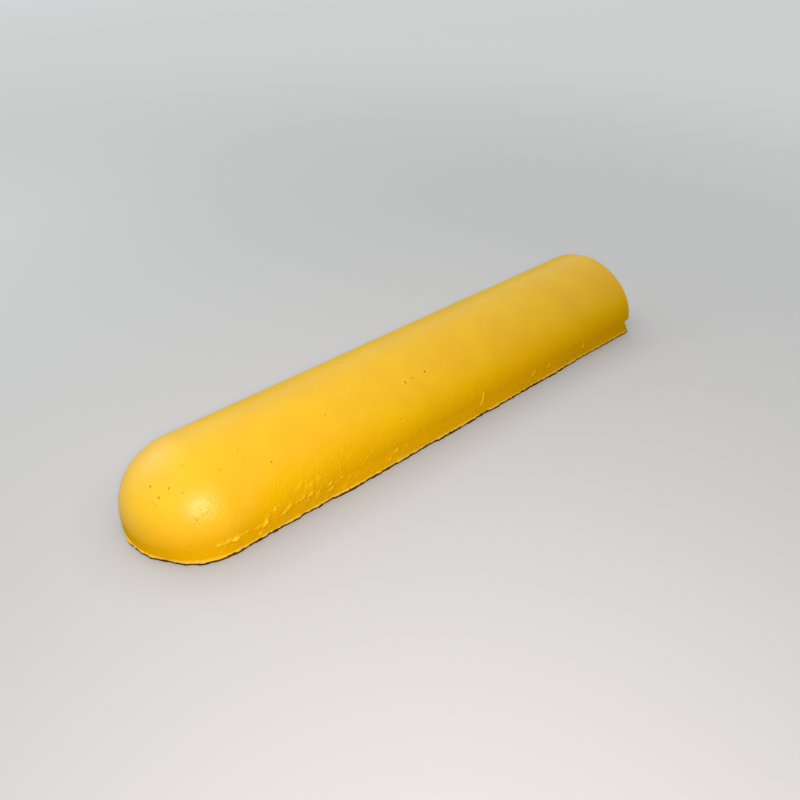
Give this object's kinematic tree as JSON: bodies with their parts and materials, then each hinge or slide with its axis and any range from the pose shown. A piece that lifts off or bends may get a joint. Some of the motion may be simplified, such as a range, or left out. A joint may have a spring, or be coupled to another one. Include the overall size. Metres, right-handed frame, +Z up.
{
  "type": "parking block",
  "caption": "Half-round precast concrete parking block, painted yellow, with a domed nose, a flat tail and a steel reinforcing cage cast inside.",
  "frame": {"origin": "middle of the base, on the ground, half way along the block and on its centre line", "axes": "+X along the block from the domed nose to the flat tail, +Y to its left, +Z up"},
  "size_m": [1.8298, 0.406, 0.221],
  "materials": {
    "yellow_paint": "satin",
    "bar_steel": "matte",
    "spacer_mortar": "matte",
    "tie_wire": "satin"
  },
  "bodies": {
    "root": {"concrete_block": "yellow_paint", "bottom_hairpin_bar": "bar_steel", "top_bar_left": "bar_steel", "top_bar_right": "bar_steel", "link_1": "bar_steel", "link_2": "bar_steel", "link_3": "bar_steel", "link_4": "bar_steel", "link_5": "bar_steel", "cross_bar_1": "bar_steel", "cross_bar_2": "bar_steel", "cross_bar_3": "bar_steel", "cross_bar_4": "bar_steel", "cross_bar_5": "bar_steel", "cover_blocks_1": "spacer_mortar", "cover_blocks_2": "spacer_mortar", "cover_blocks_3": "spacer_mortar", "cover_blocks_4": "spacer_mortar", "cover_blocks_5": "spacer_mortar", "tie_wires_1": "tie_wire", "tie_wires_2": "tie_wire", "tie_wires_3": "tie_wire", "tie_wires_4": "tie_wire", "tie_wires_5": "tie_wire"}
  },
  "joints": []
}
